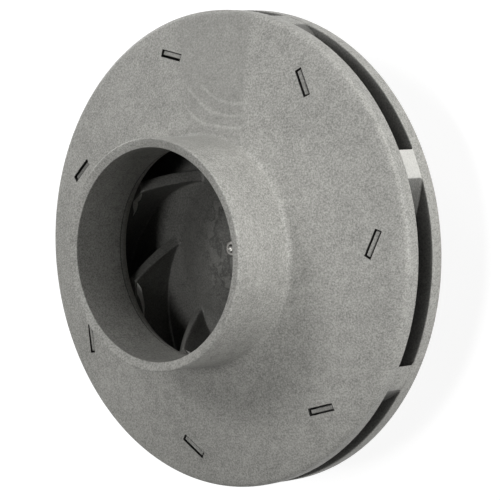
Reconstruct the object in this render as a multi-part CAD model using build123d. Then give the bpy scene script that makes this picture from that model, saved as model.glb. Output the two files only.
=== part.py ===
from build123d import *
from math import atan, cos, log, radians, sin, tan
import os

# Closed centrifugal pump impeller, moulded in two halves that are welded together at seven tenons.
# Millimetres. The shaft axis is Z, the inlet neck points up, and Z = 0 is the end of the rear seal boss.
# The first tenon slot lies on +X. Seen from the inlet, the vanes unwind anticlockwise and it turns clockwise.

# Disc and water passage
disc_diameter = 130.0
plate_rim_thickness = 4.2
plate_hub_thickness = 6.3
outlet_width = 5.9
cover_rim_thickness = 4.35
cover_root_thickness = 2.55
cover_slope_deg = 12.0
cover_rim_round = 1.6
plate_rim_round = 0.8

# Inlet neck
neck_diameter = 62.2
neck_wall = 2.6
neck_height = 27.2
neck_root_fillet = 1.5
eye_round = 6.5
lip_land = 0.5
lip_bevel_drop = 0.55
lip_outer_round = 0.4
lip_inner_round = 0.2

# Vanes
vane_count = 7
vane_inlet_angle_deg = 32.0
vane_outlet_angle_deg = 26.2
vane_tip_thickness = 3.3
vane_nose_thickness = 3.0
vane_nose_round = 0.5
vane_tip_setback = 0.1
nose_top_setback = 1.6
nose_foot_reach = 4.6

# Tenons and their slots
slot_radius = 55.25
tenon_length = 7.1
tenon_thickness = 1.2
tenon_clearance = 0.45
tenon_recess = 0.6
tenon_corner_round = 0.15

# Hub dome
dome_radius = 22.0
dome_rise = 3.6
dome_root_fillet = 12.0

# Rear seal boss
boss_diameter = 19.05
boss_length = 22.0
boss_root_fillet = 0.8
boss_end_round = 0.6

# Shaft insert, tapped 7/16-20
thread_minor_diameter = 9.9
thread_depth = 17.0
thread_mouth_chamfer = 0.8
drill_point_deg = 118.0
insert_wall = 2.25
insert_floor = 4.0
insert_groove_height = 7.0
insert_groove_width = 4.0
insert_groove_depth = 0.8
insert_flat_depth = 0.6
insert_nose_diameter = 4.2
insert_nose_stand = 0.3
insert_nose_chamfer = 0.4
insert_dimple_diameter = 2.2

# Places that follow from the sizes
disc_radius = disc_diameter / 2
neck_radius = neck_diameter / 2
eye_radius = neck_radius - neck_wall
plate_edge = boss_length + plate_rim_thickness
plate_top = boss_length + plate_hub_thickness
cover_edge = plate_edge + outlet_width + cover_rim_thickness
lip = cover_edge + neck_height
face_slope = tan(radians(cover_slope_deg))
under_slope = face_slope + (cover_rim_thickness - cover_root_thickness) / (disc_radius - neck_radius)
plate_slope = (plate_hub_thickness - plate_rim_thickness) / (disc_radius - dome_radius)
inlet_slope = tan(radians(vane_inlet_angle_deg))
outlet_slope = tan(radians(vane_outlet_angle_deg))
tip_radius = disc_radius - vane_tip_setback
nose_top_radius = eye_radius + nose_top_setback
nose_foot_radius = eye_radius - nose_foot_reach
dome_top = plate_top + dome_rise


def face_height(radius):
    """Height of the cover's outer cone at a radius."""
    return cover_edge + (disc_radius - radius) * face_slope


def under_height(radius):
    """Height of the cover's inner cone at a radius, where the vane tops are welded to it."""
    return cover_edge - cover_rim_thickness + (disc_radius - radius) * under_slope


def plate_height(radius):
    """Height of the back plate's front cone at a radius."""
    return plate_edge + (disc_radius - radius) * plate_slope


def turned(*corners):
    """Solid of revolution, from the (radius, height, rounding) corners of its half section."""
    section = make_face(Polyline(*[corner[:2] for corner in corners], close=True))
    for radius, height, rounding in corners:
        if rounding > 0:
            corner = section.vertices().sort_by_distance((radius, height, 0))[0]
            section = fillet(corner, rounding)
    return revolve(Plane.XZ * section, Axis.Z)


def vane_slope(radius):
    """Tangent of the angle between the vane and a circle, which falls evenly from the eye to the rim."""
    share = log(radius / nose_foot_radius) / log(disc_radius / nose_foot_radius)
    return inlet_slope + (outlet_slope - inlet_slope) * share


def spiral_point(radius, offset, height=0):
    """Point at an offset to the outer side of the spiral that the vanes follow, which crosses +X at the slot."""
    fall = (outlet_slope - inlet_slope) / log(disc_radius / nose_foot_radius)
    turn = log(vane_slope(radius) / vane_slope(slot_radius)) / fall
    outward = turn - atan(vane_slope(radius))
    across = radius * cos(turn) + offset * cos(outward)
    along = radius * sin(turn) + offset * sin(outward)
    return Vector(across, along, height)


def spiral_strip(inner_radius, outer_radius, inner_thickness, outer_thickness, stations):
    """Plan of a wall along the spiral, as a face whose ends are square to it."""
    sides = []
    for side in (-0.5, 0.5):
        points = []
        for step in range(stations):
            share = step / (stations - 1)
            radius = inner_radius * (outer_radius / inner_radius) ** share
            thickness = inner_thickness + (outer_thickness - inner_thickness) * share
            points.append(spiral_point(radius, side * thickness))
        sides.append(Spline(*points))
    near, far = sides
    return make_face(near + Line(near @ 1, far @ 1) + far + Line(far @ 0, near @ 0))


def tenon_plan(grow):
    """Plan of a tenon, grown all round by a clearance to give its slot."""
    half_reach = (tenon_length / 2 + grow) * sin(atan(vane_slope(slot_radius)))
    thickness = tenon_thickness + 2 * grow
    plan = spiral_strip(slot_radius - half_reach, slot_radius + half_reach, thickness, thickness, 3)
    return fillet(plan.vertices(), tenon_corner_round)


def around_axis(solid):
    """Copies of a solid, one for each vane."""
    return [place * solid for place in PolarLocations(0, vane_count)]


def make_front_shroud():
    """Conical cover and inlet neck, with the slots for the tenons."""
    cover = turned(
        (disc_radius, under_height(disc_radius), 0),
        (disc_radius, cover_edge, cover_rim_round),
        (neck_radius, face_height(neck_radius), neck_root_fillet),
        (neck_radius, lip, lip_outer_round),
        (neck_radius - lip_land, lip, 0),
        (eye_radius, lip - lip_bevel_drop, lip_inner_round),
        (eye_radius, under_height(eye_radius), eye_round),
    )
    slot = extrude(Pos(0, 0, plate_edge) * tenon_plan(tenon_clearance), lip - plate_edge)
    return cover - around_axis(slot)


def make_vane():
    """Vane with its tenon: a spiral wall with a slanted, rounded nose, trimmed to the water passage."""
    root = boss_length + plate_rim_thickness / 2
    plan = spiral_strip(
        nose_foot_radius - vane_nose_thickness,
        disc_radius + vane_tip_thickness,
        vane_nose_thickness,
        vane_tip_thickness,
        9,
    )
    foot = spiral_point(nose_foot_radius, 0, plate_height(nose_foot_radius))
    top = spiral_point(nose_top_radius, 0, under_height(nose_top_radius))
    rake = top - foot
    width = rake.cross(Vector(0, 0, 1))
    nose_plane = Plane(origin=foot, x_dir=width, z_dir=width.cross(rake))
    wall = split(extrude(Pos(0, 0, root) * plan, lip - root), nose_plane, keep=Keep.BOTTOM)
    nose = wall.faces().sort_by_distance(foot)[0]
    wall = fillet(nose.edges().sort_by(SortBy.LENGTH)[-2:], vane_nose_round)
    passage = turned(
        (0, root, 0),
        (tip_radius, root, 0),
        (tip_radius, under_height(tip_radius), 0),
        (0, under_height(0), 0),
    )
    under_face = turned(
        (0, root, 0),
        (disc_radius, root, 0),
        (disc_radius, face_height(disc_radius) - tenon_recess, 0),
        (0, face_height(0) - tenon_recess, 0),
    )
    tenon = extrude(Pos(0, 0, root) * tenon_plan(0), lip - root) & under_face
    return (wall & passage) + tenon


def make_insert_body():
    """Outside of the shaft insert: a barrel with a groove and two flats that lock it, and a thin nose."""
    barrel_radius = thread_minor_diameter / 2 + insert_wall
    groove_radius = barrel_radius - insert_groove_depth
    groove_top = insert_groove_height + insert_groove_width
    point_depth = thread_minor_diameter / 2 / tan(radians(drill_point_deg / 2))
    barrel_top = thread_depth + point_depth + insert_floor
    nose_radius = insert_nose_diameter / 2
    nose_top = dome_top + insert_nose_stand
    body = turned(
        (0, 0, 0),
        (barrel_radius, 0, 0),
        (barrel_radius, insert_groove_height, 0),
        (groove_radius, insert_groove_height, 0),
        (groove_radius, groove_top, 0),
        (barrel_radius, groove_top, 0),
        (barrel_radius, barrel_top, 0),
        (nose_radius, barrel_top, 0),
        (nose_radius, nose_top - insert_nose_chamfer, 0),
        (nose_radius - insert_nose_chamfer, nose_top, 0),
        (0, nose_top, 0),
    )
    flat_height = barrel_top - groove_top
    for side in (-1, 1):
        block = Box(barrel_radius, 2 * barrel_radius, flat_height)
        reach = side * (1.5 * barrel_radius - insert_flat_depth)
        body -= Pos(reach, 0, groove_top + flat_height / 2) * block
    return body


def make_shaft_insert(body):
    """Insert with its tapped blind hole and the centre mark in its nose."""
    thread_radius = thread_minor_diameter / 2
    point_depth = thread_radius / tan(radians(drill_point_deg / 2))
    tapping = turned(
        (0, 0, 0),
        (thread_radius + thread_mouth_chamfer, 0, 0),
        (thread_radius, thread_mouth_chamfer, 0),
        (thread_radius, thread_depth, 0),
        (0, thread_depth + point_depth, 0),
    )
    nose_top = dome_top + insert_nose_stand
    dimple = turned(
        (0, nose_top, 0),
        (insert_dimple_diameter / 2, nose_top, 0),
        (0, nose_top - insert_dimple_diameter / 2, 0),
    )
    return body - tapping - dimple


def make_vane_plate(insert_body):
    """Back plate, hub dome, seal boss, vanes and tenons, moulded round the insert."""
    boss_radius = boss_diameter / 2
    plate = turned(
        (0, 0, 0),
        (boss_radius, 0, boss_end_round),
        (boss_radius, boss_length, boss_root_fillet),
        (disc_radius, boss_length, plate_rim_round),
        (disc_radius, plate_edge, 0),
        (dome_radius, plate_top, 0),
        (0, plate_top, 0),
    )
    ball_radius = (dome_radius**2 + dome_rise**2) / (2 * dome_rise)
    ball = Pos(0, 0, dome_top - ball_radius) * Sphere(ball_radius)
    plate += split(ball, Plane.XY.offset(plate_top), keep=Keep.TOP)
    rings = plate.edges().filter_by(GeomType.CIRCLE)
    dome_root = rings.sort_by_distance((dome_radius, 0, plate_top))[0]
    plate = fillet(dome_root, dome_root_fillet)
    plate += around_axis(make_vane())
    return plate - insert_body


insert_body = make_insert_body()
parts = {
    "front_shroud": make_front_shroud(),
    "vane_plate": make_vane_plate(insert_body),
    "shaft_insert": make_shaft_insert(insert_body),
}

os.makedirs("parts", exist_ok=True)
for name, part in parts.items():
    part.label = name
    export_step(part, f"parts/{name}.step")
    print(f"{name}: {len(part.solids())} solid, {part.volume / 1000:.2f} cm3")
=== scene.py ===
# %% [markdown]
# This scene dresses the impeller of a small centrifugal pump: a grey moulded wheel that throws water from
# its eye to its rim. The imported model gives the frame, so every Blender piece is built in the same place
# and at the same size, in metres, with the shaft axis on Z and the inlet neck up. The frame is loaded
# first, because everything below is measured against it.

# %% Load the fixed frame
from math import atan, atan2, cos, log, pi, radians, sin, tan
from types import SimpleNamespace

import bmesh
import bpy
from mathutils import Matrix, Vector


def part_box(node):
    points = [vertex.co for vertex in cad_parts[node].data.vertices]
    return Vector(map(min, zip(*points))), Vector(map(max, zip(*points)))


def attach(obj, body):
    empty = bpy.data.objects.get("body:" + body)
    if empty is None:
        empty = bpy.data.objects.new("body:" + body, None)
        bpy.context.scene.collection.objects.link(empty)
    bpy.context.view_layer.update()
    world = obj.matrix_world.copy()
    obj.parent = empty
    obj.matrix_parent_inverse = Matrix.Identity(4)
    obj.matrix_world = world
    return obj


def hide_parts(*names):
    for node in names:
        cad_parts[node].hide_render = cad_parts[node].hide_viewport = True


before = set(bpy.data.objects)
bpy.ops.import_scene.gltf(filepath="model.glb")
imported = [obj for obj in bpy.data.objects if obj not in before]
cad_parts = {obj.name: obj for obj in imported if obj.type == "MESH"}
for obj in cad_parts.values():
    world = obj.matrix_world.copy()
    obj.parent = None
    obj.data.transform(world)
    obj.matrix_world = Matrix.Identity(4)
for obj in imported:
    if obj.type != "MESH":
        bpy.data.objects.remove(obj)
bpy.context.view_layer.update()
print("CAD nodes:", sorted(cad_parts))

# %% [markdown]
# The two mouldings and the insert are turned shapes, so each is described by a half section in
# millimetres. These are the sizes of the real wheel, measured from the end of the rear boss, on which it
# stands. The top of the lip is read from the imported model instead, so that the neck ends at the same
# height in both.

# %% Sizes of the wheel, in millimetres
MM = 0.001
VANES = 7
DISC_R, NECK_R, EYE_R = 65.0, 31.1, 28.5
BOSS_R, BOSS_TOP = 9.525, 22.0
PLATE_EDGE, PLATE_TOP, DOME_TOP, DOME_R = 26.2, 28.3, 31.9, 22.0
COVER_EDGE = 36.45
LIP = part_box("front_shroud")[1].z / MM
print(f"the lip of the neck is {LIP:.2f} mm up")

# %% [markdown]
# Both faces of the cover and the front of the back plate are shallow cones. The cover is thicker at the
# rim than at its root, so its underside is the steeper cone. The vanes stand between two of the cones and
# have to meet both, so each cone is a function that gives the height at a radius.

# %% The three cones
COVER_RIM_THICK, COVER_ROOT_THICK = 4.35, 2.55
FACE_SLOPE = tan(radians(12))
UNDER_SLOPE = FACE_SLOPE + (COVER_RIM_THICK - COVER_ROOT_THICK) / (DISC_R - NECK_R)
PLATE_SLOPE = (PLATE_TOP - PLATE_EDGE) / (DISC_R - DOME_R)


def face_height(radius):
    """Height of the cover's outer cone."""
    return COVER_EDGE + (DISC_R - radius) * FACE_SLOPE


def under_height(radius):
    """Height of the cover's inner cone."""
    return COVER_EDGE - COVER_RIM_THICK + (DISC_R - radius) * UNDER_SLOPE


def plate_height(radius):
    """Height of the back plate's front face."""
    return PLATE_EDGE + (DISC_R - radius) * PLATE_SLOPE


print(f"the passage is {under_height(DISC_R) - plate_height(DISC_R):.1f} mm high at the rim")

# %% [markdown]
# A moulding has no sharp corners, because molten plastic doesn't fill them and a mould is easier to cut
# with rounded tools. So the outline helper takes corners that each have their own rounding, and draws
# that as an arc. It also divides long straight runs, which keeps the faces small and even once the
# outline is turned.

# %% Outlines with rounded corners
def arc_points(before, corner, after, rounding):
    """Points of the arc that rounds a corner between two straight runs. A larger arc has more of them."""
    steps = 4 + round(2 * rounding)
    back = (Vector(before) - Vector(corner)).normalized()
    on = (Vector(after) - Vector(corner)).normalized()
    half = back.angle(on) / 2
    centre = Vector(corner) + (back + on).normalized() * (rounding / sin(half))
    start = Vector(corner) + back * (rounding / tan(half)) - centre
    end = Vector(corner) + on * (rounding / tan(half)) - centre
    return [centre + start.slerp(end, step / steps).normalized() * rounding for step in range(steps + 1)]


def outline(*corners, longest=3.0):
    """Closed half section from (radius, height, rounding) corners."""
    places = [corner[:2] for corner in corners]
    points = []
    for index, (radius, height, rounding) in enumerate(corners):
        if rounding:
            after = places[(index + 1) % len(places)]
            points += arc_points(places[index - 1], (radius, height), after, rounding)
        else:
            points.append(Vector((radius, height)))
    divided = []
    for point, following in zip(points, points[1:] + points[:1]):
        pieces = 1
        if point.x > 0 and following.x > 0:
            pieces = max(1, round((following - point).length / longest))
        divided += [point.lerp(following, piece / pieces) for piece in range(pieces)]
    return divided


print("a test corner has", len(arc_points((0, 1), (0, 0), (1, 0), 0.5)), "points")

# %% [markdown]
# Turning the outline round Z gives the solid. A modifier such as Screw would do, but a short loop leaves
# a plain mesh whose points are exactly where they should be. The wheel has seven vanes, so the number of
# steps is a multiple of seven, and fine enough that no flat shows on the rim. Every piece is then
# finished in the same way: smooth where its faces meet softly, and crisp where they meet at more than 30
# degrees.

# %% Turned meshes
TURN_STEPS = VANES * 48
ON_AXIS = 1e-6
CRISP_ANGLE = radians(30)


def finished(name, mesh_data):
    """Object from a bmesh, with its normals turned out and its soft edges shaded smooth."""
    bmesh.ops.recalc_face_normals(mesh_data, faces=mesh_data.faces)
    mesh = bpy.data.meshes.new(name)
    mesh_data.to_mesh(mesh)
    mesh_data.free()
    mesh.shade_smooth()
    mesh.set_sharp_from_angle(angle=CRISP_ANGLE)
    piece = bpy.data.objects.new(name, mesh)
    bpy.context.scene.collection.objects.link(piece)
    return piece


def turned(section, steps=TURN_STEPS):
    """Closed bmesh of revolution. A point on the axis becomes one vertex."""
    solid = bmesh.new()
    rings = []
    for radius, height in section:
        if radius < ON_AXIS:
            rings.append([solid.verts.new((0, 0, height * MM))])
            continue
        ring = []
        for step in range(steps):
            turn = 2 * pi * step / steps
            ring.append(solid.verts.new((radius * cos(turn) * MM, radius * sin(turn) * MM, height * MM)))
        rings.append(ring)
    for ring, above in zip(rings, rings[1:] + rings[:1]):
        for step in range(steps):
            after = step + 1
            corners = [
                ring[step % len(ring)],
                ring[after % len(ring)],
                above[after % len(above)],
                above[step % len(above)],
            ]
            corners = list(dict.fromkeys(corners))
            if len(corners) > 2:
                solid.faces.new(corners)
    return solid


print("a full turn has", TURN_STEPS, "steps")

# %% [markdown]
# The vanes are spirals that leave the eye steeply and flatten towards the rim, which is how such vanes
# take up the water without a shock. The tangent of their angle to a circle falls evenly with the
# logarithm of the radius, and everything that follows a vane, its walls, its tenon and its slot, is laid
# out with this one curve.

# %% The spiral of the vanes
SLOT_R = 55.25
NOSE_FOOT_R, NOSE_TOP_R = EYE_R - 4.6, EYE_R + 1.6
INLET_SLOPE, OUTLET_SLOPE = tan(radians(32)), tan(radians(26.2))
SLOPE_FALL = (OUTLET_SLOPE - INLET_SLOPE) / log(DISC_R / NOSE_FOOT_R)


def vane_slope(radius):
    """Tangent of the vane's angle to a circle."""
    return INLET_SLOPE + SLOPE_FALL * log(radius / NOSE_FOOT_R)


def on_spiral(radius, offset):
    """Point beside the vane's middle line, which crosses +X at the slot."""
    turn = log(vane_slope(radius) / vane_slope(SLOT_R)) / SLOPE_FALL
    outward = turn - atan(vane_slope(radius))
    return Vector((radius * cos(turn) + offset * cos(outward), radius * sin(turn) + offset * sin(outward)))


whole_turn = log(vane_slope(DISC_R) / vane_slope(NOSE_FOOT_R)) / SLOPE_FALL
print("a vane turns", round(whole_turn * 180 / pi), "degrees")

# %% [markdown]
# Seven slots go through the cover, and a tenon on each vane stands in its slot. Both are the same short
# strip of the spiral, the slot almost half a millimetre larger all round. So one function gives the loop
# of points for both: grown for the slot, and shifted for a tenon that stands off the middle.

# %% Plan of a tenon and its slot
TENON_LENGTH, TENON_WIDTH, TENON_ROUND, TENON_GAP = 7.1, 1.2, 0.15, 0.45
TENON_RISE = sin(atan(vane_slope(SLOT_R)))


def tenon_loop(grow, shift=0.0):
    """Loop of points round a tenon, grown by the gap to give its slot, or shifted across the slot."""
    long_half = TENON_LENGTH / 2 + grow
    wide_half = TENON_WIDTH / 2 + grow
    box = [(-long_half, -wide_half), (long_half, -wide_half), (long_half, wide_half), (-long_half, wide_half)]
    loop = []
    for index, corner in enumerate(box):
        loop += arc_points(box[index - 1], corner, box[(index + 1) % 4], TENON_ROUND)
    return [on_spiral(SLOT_R + along * TENON_RISE, across + shift) for along, across in loop]


def raised(loop, height):
    """A flat loop of points lifted to the height that a function gives at each radius."""
    return [(point.x, point.y, height(point.length)) for point in loop]


print("the loop of a slot has", len(tenon_loop(TENON_GAP)), "points")

# %% [markdown]
# Whatever isn't turned is a stack of such loops, one above the other, with walls between them and a face
# at each end. A stack is built once and then repeated round the axis, or added for one vane only, where
# each vane has its own.

# %% Stacks of loops
def stack(rows, solid):
    """Adds the walls between loops of points that lie above each other, and gives the rings of vertices."""
    rings = [[solid.verts.new((x * MM, y * MM, z * MM)) for x, y, z in row] for row in rows]
    for ring, above in zip(rings, rings[1:]):
        for index in range(len(ring)):
            after = (index + 1) % len(ring)
            solid.faces.new([ring[index], ring[after], above[after], above[index]])
    return rings


def capped(rows, solid):
    """Adds a stack of loops that one face closes at each end."""
    rings = stack(rows, solid)
    solid.faces.new(rings[0][::-1])
    solid.faces.new(rings[-1])


def turned_to(place, solid, points):
    """Turns some points of a bmesh from the first vane to the place of another."""
    turn = Matrix.Rotation(2 * pi * place / VANES, 3, "Z")
    bmesh.ops.rotate(solid, verts=points, cent=(0, 0, 0), matrix=turn)


def spun(solid):
    """Repeats everything in a bmesh at each vane."""
    first = solid.verts[:] + solid.edges[:] + solid.faces[:]
    for place in range(1, VANES):
        copy = bmesh.ops.duplicate(solid, geom=first)["geom"]
        turned_to(place, solid, [item for item in copy if isinstance(item, bmesh.types.BMVert)])


def add_at_vane(place, rows, whole):
    """Adds a closed stack of loops to a bmesh, turned to the place of one vane."""
    solid = bmesh.new()
    capped(rows, solid)
    turned_to(place, solid, solid.verts)
    loose = bpy.data.meshes.new("loose")
    solid.to_mesh(loose)
    solid.free()
    whole.from_mesh(loose)
    bpy.data.meshes.remove(loose)


print("stacks repeat", VANES, "times, every", round(360 / VANES, 1), "degrees")

# %% [markdown]
# Slots are cut and vanes are joined with a Boolean modifier. Its exact solver takes faces that touch or
# overlap, as they do at the root of a vane. The result is taken as a plain mesh, so no modifier is left
# behind.

# %% Cutting and joining
def combined(piece, tool, operation):
    """The piece with a tool cut from it or joined to it, as a plain mesh."""
    cut = piece.modifiers.new("cut", "BOOLEAN")
    cut.operation = operation
    cut.object = tool
    cut.solver = "EXACT"
    depsgraph = bpy.context.evaluated_depsgraph_get()
    mesh = bpy.data.meshes.new_from_object(piece.evaluated_get(depsgraph))
    piece.modifiers.clear()
    piece.data = mesh
    bpy.data.objects.remove(tool)
    mesh.set_sharp_from_angle(angle=CRISP_ANGLE)
    return piece


print("cut and joined edges stay crisp from", round(CRISP_ANGLE * 180 / pi), "degrees")

# %% [markdown]
# The front shroud is one moulding: a shallow cone with a tall inlet neck. Its half section has a full
# round at the rim, a small fillet where the neck stands on the cone, and a large round inside the eye,
# over which the water turns into the vanes. The two cores of the mould met where that round begins, and
# left a fine line there. The lip slopes inwards. The shape is turned first, and the slots are cut after
# that, as they are by cores in the mould.

# %% Front shroud
RIM_ROUND, NECK_FILLET, EYE_ROUND = 1.6, 1.5, 6.5
LIP_ROUND, LIP_LAND, LIP_DROP, LIP_INNER_ROUND = 0.4, 0.5, 0.55, 0.2
UNDER_ROUND = 0.15
PARTING, PARTING_DEPTH, PARTING_ABOVE, PARTING_BELOW = 46.3, 0.16, 0.15, 0.25

eye_arc = arc_points((EYE_R, LIP), (EYE_R, under_height(EYE_R)), (NECK_R, under_height(NECK_R)), EYE_ROUND)
shroud_section = outline(
    (DISC_R, under_height(DISC_R), UNDER_ROUND),
    (DISC_R, COVER_EDGE, RIM_ROUND),
    (NECK_R, face_height(NECK_R), NECK_FILLET),
    (NECK_R, LIP, LIP_ROUND),
    (NECK_R - LIP_LAND, LIP, 0),
    (EYE_R, LIP - LIP_DROP, LIP_INNER_ROUND),
    (EYE_R, PARTING + PARTING_ABOVE, 0),
    (EYE_R + PARTING_DEPTH, PARTING, 0),
    *[(radius, height, 0) for radius, height in eye_arc if height < PARTING - PARTING_BELOW],
)
shroud = finished("shroud", turned(shroud_section))
slot_loop = tenon_loop(TENON_GAP)
cutter = bmesh.new()
capped([raised(slot_loop, lambda radius: PLATE_TOP), raised(slot_loop, lambda radius: LIP)], cutter)
spun(cutter)
shroud = combined(shroud, finished("slot_cutter", cutter), "DIFFERENCE")
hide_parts("front_shroud")
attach(shroud, "root")
print("front shroud:", len(shroud.data.polygons), "faces")

# %% [markdown]
# Each vane is a wall along the spiral. Seen from above, each of its two sides starts at the nose with a
# rounded corner, runs out along the curve and ends on one circle just inside the rim. That end isn't at a
# known radius of the curve, so it is found by halving a range thirty times, which is far finer than any
# mould.

# %% Sides of a vane
NOSE_HALF, TIP_HALF = 1.55, 1.65
NOSE_ROUND, NOSE_STEPS = 0.5, 4
TIP_R = DISC_R - 0.1
SIDE_STEPS = 44


def half_width(radius):
    """Half the vane's thickness."""
    share = log(radius / NOSE_FOOT_R) / log(DISC_R / NOSE_FOOT_R)
    return NOSE_HALF + (TIP_HALF - NOSE_HALF) * max(0, share)


def end_radius(offset):
    """Radius on the spiral where the curve at an offset beside it meets the circle of the tips."""
    near, far = TIP_R - 5, TIP_R + 5
    for halving in range(30):
        middle = (near + far) / 2
        if on_spiral(middle, offset).length < TIP_R:
            near = middle
        else:
            far = middle
    return near


def vane_side(nose_radius, flare, side):
    """Points of one side of a level, from the nose to the rim, widened by the flare of the root."""
    rise = sin(atan(vane_slope(nose_radius)))
    points = []
    for step in range(NOSE_STEPS + 1):
        swing = pi / 2 * step / NOSE_STEPS
        start = nose_radius + (NOSE_ROUND * (1 - cos(swing)) - flare) * rise
        offset = half_width(nose_radius) + flare - NOSE_ROUND * (1 - sin(swing))
        points.append(on_spiral(start, side * offset))
    end = end_radius(side * (TIP_HALF + flare))
    for step in range(1, SIDE_STEPS + 1):
        place = start * (end / start) ** (step / SIDE_STEPS)
        offset = half_width(place) if step < SIDE_STEPS else TIP_HALF
        points.append(on_spiral(place, side * (offset + flare)))
    return points


print("one side has", len(vane_side(NOSE_FOOT_R, 0, 1)), "points")

# %% [markdown]
# The nose leans outwards from the plate to the cover, so the vane is a stack of levels, each with its own
# nose. A level runs along one side to the rim and comes back along the other. The lowest levels flare
# out, which gives the small fillet that every moulded wall has at its root.

# %% One vane
ROOT_FILLET, ROOT_STEP = 0.6, 0.05
ROOT_LIFTS = [-ROOT_FILLET, ROOT_STEP, 0.12, 0.22, 0.38, ROOT_FILLET]
TIP_STEPS, HEIGHT_STEPS = 5, 12


def root_flare(lift):
    """How far the root fillet widens the vane at a small height over the plate."""
    gap = ROOT_FILLET - max(lift, ROOT_STEP)
    return ROOT_FILLET - (ROOT_FILLET ** 2 - gap ** 2) ** 0.5


def vane_level(nose_radius, flare, height):
    """Loop of points round the vane at one level, with the height given at a radius."""
    right = vane_side(nose_radius, flare, 1)
    left = vane_side(nose_radius, flare, -1)
    start, end = (atan2(points[-1].y, points[-1].x) for points in (right, left))
    end = start + (end - start + pi) % (2 * pi) - pi
    tip = []
    for step in range(1, TIP_STEPS):
        turn = start + (end - start) * step / TIP_STEPS
        tip.append(Vector((TIP_R * cos(turn), TIP_R * sin(turn))))
    return raised(right + tip + left[::-1], height)


def make_vane():
    """Closed bmesh of one vane, sunk a little into the plate."""
    foot, top = plate_height(NOSE_FOOT_R), under_height(NOSE_TOP_R)
    lean = (NOSE_TOP_R - NOSE_FOOT_R) / (top - foot)
    rows = []
    for lift in ROOT_LIFTS:
        nose = NOSE_FOOT_R + lean * lift
        rows.append(vane_level(nose, root_flare(lift), lambda radius: plate_height(radius) + lift))
    for step in range(1, HEIGHT_STEPS + 1):
        share = step / HEIGHT_STEPS
        lift = ROOT_FILLET + (top - foot - ROOT_FILLET) * share

        def height(radius):
            return (plate_height(radius) + ROOT_FILLET) * (1 - share) + under_height(radius) * share

        rows.append(vane_level(NOSE_FOOT_R + lean * lift, 0, height))
    solid = bmesh.new()
    rings = stack(rows, solid)
    count = len(rows[0])
    for ring in (rings[0], rings[-1]):
        for index in range(count // 2 - 1):
            solid.faces.new([ring[index], ring[index + 1], ring[count - 2 - index], ring[count - 1 - index]])
    return solid


vane = make_vane()
print("one vane:", len(vane.faces), "faces")

# %% [markdown]
# The vane plate is the second moulding: the back plate, the low dome of the hub and the rear boss that
# carries the shaft seal, with the vanes and their tenons. The dome is a shallow cap of a large ball, and
# a wide fillet leads from it to the plate. The plastic is moulded round a metal insert, so its section
# has the insert's shape cut into it, two flats included. The vanes are joined to the turned shape.

# %% Back plate, hub and vanes
INSERT_R, BARREL_TOP, PIN_R, PIN_TOP = 7.2, 23.97, 2.1, 32.2
GROOVE_R, GROOVE_LOW, GROOVE_HIGH = 6.4, 7.0, 11.0
FLAT_X = 6.6
BOSS_END_ROUND, BOSS_FILLET, PLATE_BACK_ROUND, PLATE_FRONT_ROUND, HUB_FILLET = 0.6, 0.8, 0.8, 0.12, 12.0
DOME_BALL = (DOME_R ** 2 + (DOME_TOP - PLATE_TOP) ** 2) / (2 * (DOME_TOP - PLATE_TOP))


def dome_height(radius):
    """Height of the hub dome."""
    return DOME_TOP - DOME_BALL + (DOME_BALL ** 2 - radius ** 2) ** 0.5


def flattened(solid):
    """Presses the two flats into the upper barrel, on the insert and in its pocket alike."""
    for vertex in solid.verts:
        x, y, z = vertex.co / MM
        if z > GROOVE_HIGH - 0.01 and abs(Vector((x, y)).length - INSERT_R) < 0.01:
            vertex.co.x = max(-FLAT_X, min(FLAT_X, x)) * MM
    return solid


groove = [
    (INSERT_R, GROOVE_LOW, 0),
    (GROOVE_R, GROOVE_LOW, 0),
    (GROOVE_R, GROOVE_HIGH, 0),
    (INSERT_R, GROOVE_HIGH, 0),
]
plate_section = outline(
    (INSERT_R, 0, 0),
    (BOSS_R, 0, BOSS_END_ROUND),
    (BOSS_R, BOSS_TOP, BOSS_FILLET),
    (DISC_R, BOSS_TOP, PLATE_BACK_ROUND),
    (DISC_R, PLATE_EDGE, PLATE_FRONT_ROUND),
    (DOME_R, PLATE_TOP, HUB_FILLET),
    *[(radius, dome_height(radius), 0) for radius in range(18, 2, -1)],
    (PIN_R, dome_height(PIN_R), 0),
    (PIN_R, BARREL_TOP, 0),
    (INSERT_R, BARREL_TOP, 0),
    *groove[::-1],
)
plate = finished("vane_wheel", flattened(turned(plate_section)))
spun(vane)
plate = combined(plate, finished("vanes", vane), "UNION")
print("plate with its vanes:", len(plate.data.polygons), "faces")

# %% [markdown]
# The weld left each tenon a little off the middle of its slot and at a depth of its own, one of them
# askew. So every tenon has a shift and the depths of its inner and outer end, in millimetres, and a small
# edge all round its top. They are joined in the order of the vanes, the first on +X.

# %% Tenons
TENON_EDGE = 0.17
TENON_REACH = TENON_LENGTH / 2 * TENON_RISE
TENON_SEATS = [
    (-0.08, 0.28, 0.28),
    (-0.05, 0.28, 0.28),
    (0.14, 0.35, 0.35),
    (0.0, 0.55, 0.55),
    (0.05, 0.05, 0.3),
    (-0.14, 0.12, 0.12),
    (-0.03, 0.45, 0.45),
]


def tenon_rows(shift, inner, outer):
    """Loops of one tenon, from under the cover to its top, which is sunk by a depth at each end."""
    def sunk(radius):
        share = (radius - SLOT_R + TENON_REACH) / (2 * TENON_REACH)
        return face_height(radius) - inner - (outer - inner) * share

    side = tenon_loop(0, shift)
    return [
        raised(side, lambda radius: under_height(radius) - 1.0),
        raised(side, lambda radius: sunk(radius) - TENON_EDGE),
        raised(tenon_loop(-TENON_EDGE, shift), sunk),
    ]


tenons = bmesh.new()
for place, seat in enumerate(TENON_SEATS):
    add_at_vane(place, tenon_rows(*seat), tenons)
plate = combined(plate, finished("tenons", tenons), "UNION")
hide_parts("vane_plate")
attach(plate, "root")
print("vane plate:", len(plate.data.polygons), "faces")

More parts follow.
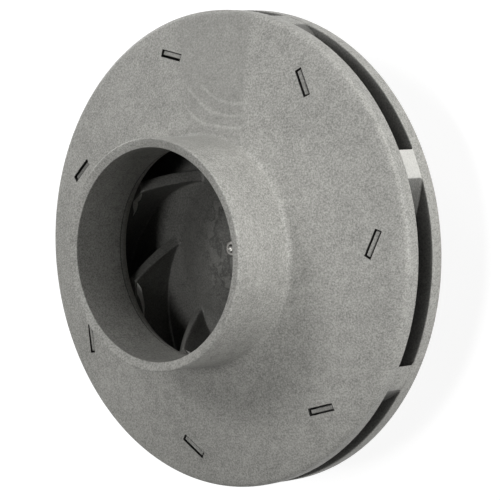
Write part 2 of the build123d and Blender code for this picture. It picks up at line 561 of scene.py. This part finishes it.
# %% [markdown]
# When the vanes were welded to the cover, some melt was squeezed out beside their tops and set there as
# thin slivers. They hang from the joint on the inner side of each vane. A sliver begins narrow at the nose
# and widens, and then it tears off the joint and ends in a loose tail. Two such shapes, each a list of
# where the sliver's edges lie, take turns round the wheel. Their pale colour is painted light.

# %% Weld flash beside the vane tops
FLASH_START, FLASH_REACH, FLASH_THICK = 0.3, 5.0, 0.22
FLASH_UNDER_VANE, FLASH_UNDER_COVER = 0.2, 0.03
FLASH_OUT, FLASH_DOWN = 0.7, 0.75
FLASH_SHAPES = [
    [(0, 0.2), (0, 0.9), (0, 1.45), (0.1, 1.3), (0.5, 2.05), (1.2, 2.5), (2.3, 2.65), (2.6, 2.7)],
    [(0, 0.4), (0, 1.4), (0, 1.65), (0.75, 1.9), (1.1, 2.1), (1.4, 2.1), (1.5, 1.85), (1.5, 1.6)],
]


def flash_rows(shape):
    """Sections of a sliver along the top of a vane, each between its two edges."""
    rows = []
    for step, edges in enumerate(shape):
        radius = NOSE_TOP_R + FLASH_START + FLASH_REACH * step / (len(shape) - 1)
        side, top = FLASH_UNDER_VANE - half_width(radius), under_height(radius) - FLASH_UNDER_COVER
        section = [(side - FLASH_OUT * edge, top - FLASH_DOWN * edge) for edge in edges]
        section += [(across + FLASH_THICK, up - FLASH_THICK) for across, up in reversed(section)]
        rows.append([(*on_spiral(radius, across), up) for across, up in section])
    return rows


flash_mesh = bmesh.new()
for place in range(VANES):
    add_at_vane(place, flash_rows(FLASH_SHAPES[place % 2]), flash_mesh)
flash = finished("weld_flash", flash_mesh)
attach(flash, "root")
print("weld flash:", len(flash.data.polygons), "faces")

# %% [markdown]
# The insert is turned from steel bar: a barrel with a tapped blind hole at the back, and a thin pin whose
# end shows as a bright ring in the middle of the hub. The thread is real: the wall of the hole is a fine
# grid, and its points are pushed out along a 60 degree thread form that climbs one pitch with each turn.

# %% Shaft insert
THREAD_MINOR, THREAD_MAJOR, PITCH, THREAD_START, THREAD_END = 4.95, 5.5, 1.27, 0.8, 17.0
MOUTH_CHAMFER, DRILL_POINT = 0.8, 2.97
PIN_CHAMFER, MARK_R = 0.35, 1.1
CREST_SHARE, FLANK_SHARE = 0.2, 0.5
THREAD_ROWS, INSERT_STEPS = 150, 96
tapped = [THREAD_END + (THREAD_START - THREAD_END) * row / THREAD_ROWS for row in range(THREAD_ROWS + 1)]
insert_section = outline(
    (THREAD_MINOR + MOUTH_CHAMFER, 0, 0.1),
    (INSERT_R, 0, 0),
    *groove,
    (INSERT_R, BARREL_TOP, 0),
    (PIN_R, BARREL_TOP, 0),
    (PIN_R, PIN_TOP, PIN_CHAMFER),
    (MARK_R, PIN_TOP, 0.1),
    (0, PIN_TOP - MARK_R, 0),
    (0, THREAD_END + DRILL_POINT, 0),
    *[(THREAD_MINOR, height, 0) for height in tapped],
)


def thread_radius(height, turn):
    """Radius of the tapped wall: crest, 60 degree flanks and root in one pitch, fading out at the end."""
    phase = (height / PITCH - turn / (2 * pi)) % 1
    depth = max(0, min(1, (1 - abs(2 * phase - 1) - CREST_SHARE) / FLANK_SHARE))
    runout = max(0, min(1, (THREAD_END - height) / PITCH))
    return THREAD_MINOR + (THREAD_MAJOR - THREAD_MINOR) * depth * runout


insert_mesh = flattened(turned(insert_section, INSERT_STEPS))
for vertex in insert_mesh.verts:
    x, y, z = vertex.co / MM
    if z > THREAD_START - 0.01 and abs(Vector((x, y)).length - THREAD_MINOR) < 0.001:
        turn = atan2(y, x)
        vertex.co.xy = Vector((cos(turn), sin(turn))) * thread_radius(z, turn) * MM
insert = finished("insert", insert_mesh)
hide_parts("shaft_insert")
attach(insert, "root")
thread_turns = (THREAD_END - THREAD_START) / PITCH
print("insert:", len(insert.data.polygons), "faces, thread of", round(thread_turns, 1), "turns")

# %% [markdown]
# Colours are written as they look on a screen and turned to linear light by one function, because
# Blender's shaders work in linear light. One more function adds a shader node with its settings and
# links, so that each material below reads as a list of what it is made of. The colour sockets of a Mix
# node share their names with its number sockets, so they are picked by their place.

# %% Colour and node helpers
MIX_BELOW, MIX_ABOVE, MIX_RESULT = 6, 7, 2


def linear(code):
    """Linear colour of a hex code."""
    channels = []
    for place in (0, 2, 4):
        value = int(code[place:place + 2], 16) / 255
        channels.append(value / 12.92 if value <= 0.04045 else ((value + 0.055) / 1.055) ** 2.4)
    return (*channels, 1)


def add_node(tree, kind, sockets=None, **settings):
    """Adds a node. Each socket is given a value to hold, or a node or one of its outputs to link."""
    node = tree.nodes.new(kind)
    for name, value in settings.items():
        setattr(node, name, value)
    for name, value in (sockets or {}).items():
        if isinstance(value, bpy.types.Node):
            value = value.outputs[0]
        if isinstance(value, bpy.types.NodeSocket):
            tree.links.new(value, node.inputs[name])
        else:
            node.inputs[name].default_value = value
    return node


def new_material(name):
    """Material with an empty node tree and its output."""
    material = bpy.data.materials.new(name)
    material.use_nodes = True
    material.node_tree.nodes.clear()
    return material, material.node_tree, material.node_tree.nodes.new("ShaderNodeOutputMaterial")


print("mid grey in linear light:", round(linear("808080")[0], 3))

# %% [markdown]
# The tone of a moulding isn't even, and what changes it has its own place on the wheel. So the materials
# first work out where a point is: how far across, along and up, how far from the axis, and at which
# level, which is the same all over the cone of the cover and lower inside. A patch is then a strength
# that fades out past edges in those values, in millimetres.

# %% Places and patches on the wheel
FACE_LEVEL = COVER_EDGE + DISC_R * FACE_SLOPE


def wheel_places(tree):
    """A point's place in millimetres, with its parts, its distance from the axis and its level."""
    point = add_node(tree, "ShaderNodeTexCoord").outputs["Object"]
    place = add_node(tree, "ShaderNodeVectorMath", {0: point, "Scale": 1 / MM}, operation="SCALE")
    flat = add_node(tree, "ShaderNodeVectorMath", {0: place, 1: (1, 1, 0)}, operation="MULTIPLY")
    radius = add_node(tree, "ShaderNodeVectorMath", {0: flat}, operation="LENGTH").outputs["Value"]
    across, along, height = add_node(tree, "ShaderNodeSeparateXYZ", {"Vector": place}).outputs
    sockets = {0: radius, 1: FACE_SLOPE, 2: height}
    level = add_node(tree, "ShaderNodeMath", sockets, operation="MULTIPLY_ADD")
    return SimpleNamespace(place=place, across=across, along=along, height=height, radius=radius, level=level)


def patch(tree, strength, *edges):
    """Strength that is full inside soft edges, each a value, where the patch ends and where it is full."""
    for value, end, full in edges:
        sockets = {"Value": value, "From Min": end, "From Max": full, "To Max": strength}
        strength = add_node(tree, "ShaderNodeMapRange", sockets, interpolation_type="SMOOTHSTEP")
    return strength


print("level of the cover's face:", round(FACE_LEVEL, 2), "mm")

# %% [markdown]
# Four things shade the plastic or lighten it, and all four are painted. The slot walls are painted black,
# and a tenon is painted darker the deeper it sits, both as painted shade. The fine groove in the eye is
# painted dark as painted shade. The floor of the eye and the passages are painted darker than the open
# faces as painted shade, most so just past the vanes. And the end of one vane at the rim is painted pale as
# a painted highlight. Each of the four is a patch, and the shader picks the strongest of the dark ones.

# %% Painted shade in the joints and passages, and a painted highlight
def joint_shade(tree, at):
    """Painted shade in the slots: black on their walls, and on the tenons darker than the cover, the deeper
    the more.
    """
    normal = add_node(tree, "ShaderNodeNewGeometry").outputs["Normal"]
    upright = add_node(tree, "ShaderNodeSeparateXYZ", {"Vector": normal}).outputs["Z"]
    near, deep = FACE_LEVEL - 0.42, FACE_LEVEL - 0.6
    sockets = {"Value": at.level, "From Min": near, "From Max": deep, "To Min": 0.14, "To Max": 0.65}
    top = add_node(tree, "ShaderNodeMapRange", sockets)
    sockets = {"Value": upright, "From Min": 0.3, "From Max": 0.8, "To Min": 0.95, "To Max": top}
    wall = add_node(tree, "ShaderNodeMapRange", sockets)
    sunk = (at.level, FACE_LEVEL - 0.03, FACE_LEVEL - 0.12)
    above = (at.level, FACE_LEVEL - 3.7, FACE_LEVEL - 3.4)
    return patch(tree, wall, sunk, above, (at.radius, 50, 51), (at.radius, 60, 59))


def parting_shade(tree, at):
    """Painted shade in the fine groove inside the eye."""
    low = (at.height, PARTING - 0.4, PARTING - PARTING_BELOW)
    high = (at.height, PARTING + 0.3, PARTING + PARTING_ABOVE)
    return patch(tree, 0.6, low, high, (at.radius, EYE_R + 0.5, EYE_R + 0.4))


def passage_shade(tree, at, strength):
    """Painted shade on the floor of the eye and in the water passages, full strength just past the vanes."""
    sockets = {"Value": at.radius, "From Min": 45, "From Max": 58, "To Min": strength, "To Max": 0.9}
    outward = add_node(tree, "ShaderNodeMapRange", sockets)
    sockets = {"Value": at.radius, "From Min": 58, "From Max": 64.6, "To Min": 0.9, "To Max": 0.6}
    inward = add_node(tree, "ShaderNodeMapRange", sockets)
    full = add_node(tree, "ShaderNodeMath", {0: outward, 1: inward}, operation="MINIMUM")
    under = (at.level, FACE_LEVEL - 2.0, FACE_LEVEL - 3.3)
    return patch(tree, full, (at.radius, 64.85, 64.6), under, (at.height, BOSS_TOP + 3, BOSS_TOP + 4))


def darkened(tree, at, inside):
    """The strongest of the three painted shades."""
    strongest = passage_shade(tree, at, inside)
    for other in (joint_shade(tree, at), parting_shade(tree, at)):
        strongest = add_node(tree, "ShaderNodeMath", {0: strongest, 1: other}, operation="MAXIMUM")
    return strongest


def painted_vane_end_highlight(tree, at):
    """A painted highlight: the end of one vane at the rim, painted paler."""
    low = (at.height, PLATE_EDGE + 0.1, PLATE_EDGE + 0.3)
    high = (at.height, PLATE_EDGE + 5.9, PLATE_EDGE + 5.7)
    end = (at.radius, TIP_R - 0.3, TIP_R - 0.1)
    return patch(tree, 0.42, end, low, high, (at.across, 50, 52), (at.along, 14, 15), (at.along, 27, 26))


print("the groove in the eye is", PARTING, "mm up")

# %% [markdown]
# Where the melt fronts met, from the rim down to the neck, the glass-poor skin is smoother, and the flow
# left a nest of thin light arcs in it, one after another like ripples. The band of skin is also painted a
# little darker, as painted shade. The arcs are parts of wide, slanted ellipses about one far point, bent a
# little by noise, and a soft edged patch keeps them where they belong. The stretch is in the plan, and its
# last value is so large that the height no longer counts.

# %% Flow marks beside the neck
RIPPLE_MIDDLE, RIPPLE_SLANT, RIPPLE_STRETCH = (30, 75, 0), (0, 0, 0.77), (1.5, 1, 1000)
RIPPLE_FIRST, RIPPLE_PITCH, RIPPLE_BEND = 28.4, 2.57, 1.6


def flow_marks(tree, at):
    """The light arcs, and the band of skin that they lie in, which is painted darker as shade."""
    sockets = {
        "Vector": at.place,
        "Location": RIPPLE_MIDDLE,
        "Rotation": RIPPLE_SLANT,
        "Scale": RIPPLE_STRETCH,
    }
    about = add_node(tree, "ShaderNodeMapping", sockets, vector_type="TEXTURE")
    reach = add_node(tree, "ShaderNodeVectorMath", {0: about}, operation="LENGTH").outputs["Value"]
    bend = add_node(tree, "ShaderNodeTexNoise", {"Vector": at.place, "Scale": 0.11, "Detail": 2.0})
    bent = add_node(tree, "ShaderNodeMath", {0: bend, 1: RIPPLE_BEND, 2: reach}, operation="MULTIPLY_ADD")
    first = RIPPLE_FIRST + RIPPLE_BEND / 2
    past = add_node(tree, "ShaderNodeMath", {0: bent, 1: first}, operation="SUBTRACT")
    off = add_node(tree, "ShaderNodeMath", {0: past, 1: RIPPLE_PITCH / 2}, operation="PINGPONG")
    slanted = add_node(tree, "ShaderNodeVectorMath", {0: at.place, 1: (1, 0.35, 0)}, operation="DOT_PRODUCT")
    left, right = (slanted.outputs["Value"], 4, 13), (at.across, 17, 14.5)
    on_cover = (at.level, FACE_LEVEL - 0.8, FACE_LEVEL - 0.3)
    skin = patch(tree, 1.0, left, right, (at.along, 20, 30), on_cover)
    arcs = patch(tree, skin, (off, 0.5, 0.1), (past, -1.2, -0.4), (past, 6.8, 6.2), (at.along, 45.5, 43))
    return arcs, skin


print("ripples", RIPPLE_PITCH, "mm apart")

# %% [markdown]
# Water has dried on the hub dome and left pale blotches with a darker edge. They are one slow noise, cut
# off at two heights: the pale residue lies where it is high, and the edge where it just begins to rise.

# %% Dried residue on the hub
def residue(tree, at):
    """The pale blotches on the dome, and their dark edge."""
    sockets = {"Vector": at.place, "Scale": 0.2, "Detail": 3.0, "Roughness": 0.6}
    blot = add_node(tree, "ShaderNodeTexNoise", sockets)
    sides = (at.across, -12, -7), (at.across, 6, 0), (at.along, -20, -14), (at.along, 18, 12)
    spot = patch(tree, 1.0, *sides, (at.height, 30, 30.6))
    pale = patch(tree, spot, (blot, 0.52, 0.58))
    edge = patch(tree, spot, (blot, 0.46, 0.49), (blot, 0.54, 0.52))
    return pale, edge


print("the residue lies on the dome, up to", DOME_TOP, "mm")

# %% [markdown]
# The wheel is moulded in a grey engineering plastic filled with short glass fibre. The fibres give it a
# fine light and dark grain of about half a millimetre, and the flow of the melt leaves broader, fainter
# clouds. Each is noise at its real size. A dot product weighs and adds the three, and half the weights
# are taken off, so that the sum lies about zero. The marks are added to it, each with its own change of
# tone, and the whole picks a tone between the dark and the light one.

# %% Speckle and tone of the plastic
GRAIN_WEIGHTS = Vector((0.58, 0.17, 0.12))
SKIN_CALM = 0.65
# The skin's change of tone is painted shade; the arcs and the residue are the plastic's own marks.
SKIN_PAINTED_SHADE, ARC_CHANGE, RESIDUE_CHANGE = -0.036, 0.06, 0.09
TONE_SPAN = 0.14


def speckle(tree, place):
    """The grain of the glass alone, and the three noises added up about zero."""
    sockets = {"Vector": place, "Scale": 2.1, "Detail": 2.0, "Roughness": 0.7}
    grain = add_node(tree, "ShaderNodeTexNoise", sockets)
    sockets = {"Vector": place, "Scale": 0.3, "Detail": 4.0, "Roughness": 0.6}
    mottle = add_node(tree, "ShaderNodeTexNoise", sockets)
    cloud = add_node(tree, "ShaderNodeTexNoise", {"Vector": place, "Scale": 0.045, "Detail": 2.0})
    noises = add_node(tree, "ShaderNodeCombineXYZ", {"X": grain, "Y": mottle, "Z": cloud})
    summed = add_node(tree, "ShaderNodeVectorMath", {0: noises, 1: GRAIN_WEIGHTS}, operation="DOT_PRODUCT")
    sockets = {0: summed.outputs["Value"], 1: sum(GRAIN_WEIGHTS) / 2}
    return grain, add_node(tree, "ShaderNodeMath", sockets, operation="SUBTRACT")


def plastic_tone(tree, at, centred):
    """How light the plastic is, from 0 to 1, with the flow marks and the residue in it."""
    arcs, skin = flow_marks(tree, at)
    pale, edge = residue(tree, at)
    calm = add_node(tree, "ShaderNodeMapRange", {"Value": skin, "To Min": 1.0, "To Max": SKIN_CALM})
    tone = add_node(tree, "ShaderNodeMath", {0: centred, 1: calm}, operation="MULTIPLY")
    marks = (skin, SKIN_PAINTED_SHADE), (arcs, ARC_CHANGE), (pale, RESIDUE_CHANGE), (edge, -RESIDUE_CHANGE)
    for mark, change in marks:
        tone = add_node(tree, "ShaderNodeMath", {0: mark, 1: change, 2: tone}, operation="MULTIPLY_ADD")
    sockets = {"Value": tone, "From Min": -TONE_SPAN, "From Max": TONE_SPAN}
    return add_node(tree, "ShaderNodeMapRange", sockets)


print("the grain weighs", round(GRAIN_WEIGHTS.x / sum(GRAIN_WEIGHTS), 2), "of the speckle")

# %% [markdown]
# Straight from the mould such a plastic is matt, with a dull, even highlight. Its index of refraction is
# about 1.5, and the grain lifts the surface by a few hundredths of a millimetre. Three colours go over
# each other: the speckled grey, the painted highlight on one vane end and the black of the painted shade.
# The weld flash gets the same material in a much lighter grey and with weaker painted shade in the eye,
# as painted light on the thin slivers.

# %% Glass-filled moulded plastic
def moulded_plastic(name, dark, light, inside):
    """Matt plastic with a fine grain, from its two greys and the strength of the painted shade inside the
    eye.
    """
    material, tree, output = new_material(name)
    at = wheel_places(tree)
    grain, centred = speckle(tree, at.place)
    colour = linear(dark)
    # The pale vane end is a painted highlight, and the near black is painted shade.
    layers = (
        (plastic_tone(tree, at, centred), light),
        (painted_vane_end_highlight(tree, at), "E6E5E0"),
        (darkened(tree, at, inside), "10100F"),
    )
    for factor, code in layers:
        sockets = {"Factor": factor, MIX_BELOW: colour, MIX_ABOVE: linear(code)}
        colour = add_node(tree, "ShaderNodeMix", sockets, data_type="RGBA").outputs[MIX_RESULT]
    bump = add_node(tree, "ShaderNodeBump", {"Height": grain, "Strength": 0.35, "Distance": 0.06 * MM})
    sockets = {
        "Base Color": colour,
        "Normal": bump,
        "Roughness": 0.55,
        "IOR": 1.5,
        "Specular IOR Level": 0.35,
    }
    shader = add_node(tree, "ShaderNodeBsdfPrincipled", sockets)
    tree.links.new(shader.outputs[0], output.inputs["Surface"])
    return material


plastic = moulded_plastic("glass_filled_plastic_moulded", "6C6C68", "B0AFAA", 0.68)
shroud.data.materials.append(plastic)
plate.data.materials.append(plastic)
# The weld flash: a much lighter grey as painted light, with weaker painted shade inside the eye.
flash.data.materials.append(moulded_plastic("glass_filled_plastic_painted_light", "BCBCB8", "E2E1DC", 0.2))
print("plastic:", len(plastic.node_tree.nodes), "nodes")

# %% [markdown]
# The insert is stainless steel, turned on a lathe. Turning leaves very fine rings, which spread a
# highlight across them, so the tone and the roughness follow rings about the axis, drawn coarser than
# real so that they show. The middle of the centre mark of the pin is painted dark as painted shade, which
# leaves a bright ring round a dark middle.

# %% Turned stainless steel
CENTRE_SHADE_R = 1.35


def turned_steel(name):
    """Stainless steel with the rings of the lathe tool, and painted shade in its middle."""
    material, tree, output = new_material(name)
    at = wheel_places(tree)
    sockets = {"Vector": at.place, "Scale": 0.9, "Distortion": 0.6, "Detail": 1.0}
    rings = add_node(tree, "ShaderNodeTexWave", sockets, wave_type="RINGS", rings_direction="Z")
    rings = rings.outputs["Fac"]
    rough = add_node(tree, "ShaderNodeMapRange", {"Value": rings, "To Min": 0.24, "To Max": 0.4})
    # The middle of the centre mark is darkened as painted shade.
    centre_shade = patch(tree, 0.6, (at.radius, CENTRE_SHADE_R, CENTRE_SHADE_R - 0.2))
    colour = linear("A3A19D")
    for factor, code in ((rings, "BDBBB6"), (centre_shade, "303230")):
        sockets = {"Factor": factor, MIX_BELOW: colour, MIX_ABOVE: linear(code)}
        colour = add_node(tree, "ShaderNodeMix", sockets, data_type="RGBA").outputs[MIX_RESULT]
    sockets = {"Base Color": colour, "Metallic": 1.0, "Roughness": rough}
    shader = add_node(tree, "ShaderNodeBsdfPrincipled", sockets)
    tree.links.new(shader.outputs[0], output.inputs["Surface"])
    return material


steel = turned_steel("stainless_steel_turned")
insert.data.materials.append(steel)
print("steel:", len(steel.node_tree.nodes), "nodes")

# %% [markdown]
# The wheel stands on a white table. The floor is lit like the wheel, so it keeps the shadow. Its own
# colour makes it pale, and a little glow makes it white. Only camera, mirror and glass rays see the glow,
# which leaves the light on the wheel alone.

# %% White table
TABLE_GAP, TABLE_HALF, TABLE_GLOW = 0.0002, 3.0, 0.89


def seen_rays(tree):
    """1 for the rays that see a surface: straight from the camera, mirrored, or through glass."""
    path = add_node(tree, "ShaderNodeLightPath")
    seen = path.outputs["Is Camera Ray"]
    for kind in ("Is Glossy Ray", "Is Transmission Ray"):
        seen = add_node(tree, "ShaderNodeMath", {0: seen, 1: path.outputs[kind]}, operation="MAXIMUM")
    return seen


def white_floor():
    """Pale paint with a faint glow that only seen rays pick up."""
    material, tree, output = new_material("white_table")
    sockets = {0: seen_rays(tree), 1: TABLE_GLOW}
    glow_strength = add_node(tree, "ShaderNodeMath", sockets, operation="MULTIPLY")
    paint = add_node(tree, "ShaderNodeBsdfDiffuse", {"Color": linear("959595")})
    glow = add_node(tree, "ShaderNodeEmission", {"Strength": glow_strength})
    both = add_node(tree, "ShaderNodeAddShader", {0: paint.outputs[0], 1: glow.outputs[0]})
    tree.links.new(both.outputs[0], output.inputs["Surface"])
    return material


floor_data = bmesh.new()
bmesh.ops.create_grid(floor_data, x_segments=8, y_segments=8, size=TABLE_HALF)
floor = finished("table", floor_data)
floor.location.z = -TABLE_GAP
floor.data.materials.append(white_floor())
print("the table is", 2 * TABLE_HALF, "m wide")

# %% [markdown]
# The photograph was taken from in front and above with a long lens, about 0.72 m from the wheel, with the
# wheel lying over on its side. Here the wheel stands on its boss, so the camera is rolled instead. Its
# three axes and its place come from matching the rims, the lip and the slots.

# %% Camera
CAMERA_PLACE = Vector((486.39, 16.53, 567.56)) * MM
CAMERA_RIGHT = Vector((0.74466, -0.05633, -0.66506))
CAMERA_BACK = Vector((0.66693, 0.02378, 0.74474))
WHEEL_MIDDLE = Vector((0, 0, 0.035))
SENSOR_WIDTH, FOCAL_PIXELS, PICTURE_PIXELS = 36, 2646.6, 500

camera_data = bpy.data.cameras.new("camera")
camera_data.sensor_width = SENSOR_WIDTH
camera_data.lens = SENSOR_WIDTH * FOCAL_PIXELS / PICTURE_PIXELS
camera_data.clip_start = 0.01
camera = bpy.data.objects.new("camera", camera_data)
camera_up = CAMERA_BACK.cross(CAMERA_RIGHT)
camera_turn = Matrix((CAMERA_RIGHT, camera_up, CAMERA_BACK)).transposed().to_4x4()
camera.matrix_world = Matrix.Translation(CAMERA_PLACE) @ camera_turn
bpy.context.scene.collection.objects.link(camera)
bpy.context.scene.camera = camera
print(f"lens {camera_data.lens:.0f} mm, {(CAMERA_PLACE - WHEEL_MIDDLE).length:.2f} m away")

# %% [markdown]
# Soft boxes light the wheel as in a small photo studio. Each is an area lamp aimed at the wheel's middle
# and placed by the direction it shines from. The three low ones are narrow strips just over the table.
# They light the rims and the outside of the neck, and can't shine over the lip into the eye, which has to
# stay dark.

# %% Studio lamps
LAMP_DISTANCE = 1.2


def soft_box(name, azimuth, elevation, width, height, power):
    """Area lamp that points at the wheel."""
    lamp_data = bpy.data.lights.new(name, "AREA")
    lamp_data.shape = "RECTANGLE"
    lamp_data.size = width
    lamp_data.size_y = height
    lamp_data.energy = power
    lamp = bpy.data.objects.new(name, lamp_data)
    turn, lift = radians(azimuth), radians(elevation)
    direction = Vector((cos(turn) * cos(lift), sin(turn) * cos(lift), sin(lift)))
    lamp.location = WHEEL_MIDDLE + direction * LAMP_DISTANCE
    lamp.rotation_euler = direction.to_track_quat("Z", "Y").to_euler()
    bpy.context.scene.collection.objects.link(lamp)
    return lamp


lamps = [
    soft_box("right_low", 2, 1, 0.3, 0.04, 8.3),
    soft_box("upper_low", 40, 1, 0.3, 0.04, 6.5),
    soft_box("left_low", 150, 1, 0.3, 0.04, 4.5),
    soft_box("right", 5, 15, 0.3, 0.3, 1.9),
    soft_box("upper", 95, 30, 0.3, 0.3, 1.8),
    soft_box("high", 120, 55, 0.3, 0.3, 4.3),
    soft_box("front", 0, 85, 0.3, 0.3, 5.6),
]
print(len(lamps), "lamps,", round(sum(lamp.data.energy for lamp in lamps), 1), "W in all")

# %% [markdown]
# The world adds a very weak even light, and is white where it is seen. The light path tells the two
# apart, as for the table. The standard view transform shows every colour about as it is written.

# %% World and view
EVEN_LIGHT, SEEN_WHITE = 0.01, 1.0

world = bpy.data.worlds.new("studio")
bpy.context.scene.world = world
world.use_nodes = True
world.node_tree.nodes.clear()
even = add_node(world.node_tree, "ShaderNodeBackground", {"Color": (1, 1, 1, 1), "Strength": EVEN_LIGHT})
white = add_node(world.node_tree, "ShaderNodeBackground", {"Color": (1, 1, 1, 1), "Strength": SEEN_WHITE})
mixed = add_node(world.node_tree, "ShaderNodeMixShader", {0: seen_rays(world.node_tree), 1: even, 2: white})
add_node(world.node_tree, "ShaderNodeOutputWorld", {"Surface": mixed})
bpy.context.scene.view_settings.view_transform = "Standard"
print("world:", len(world.node_tree.nodes), "nodes")
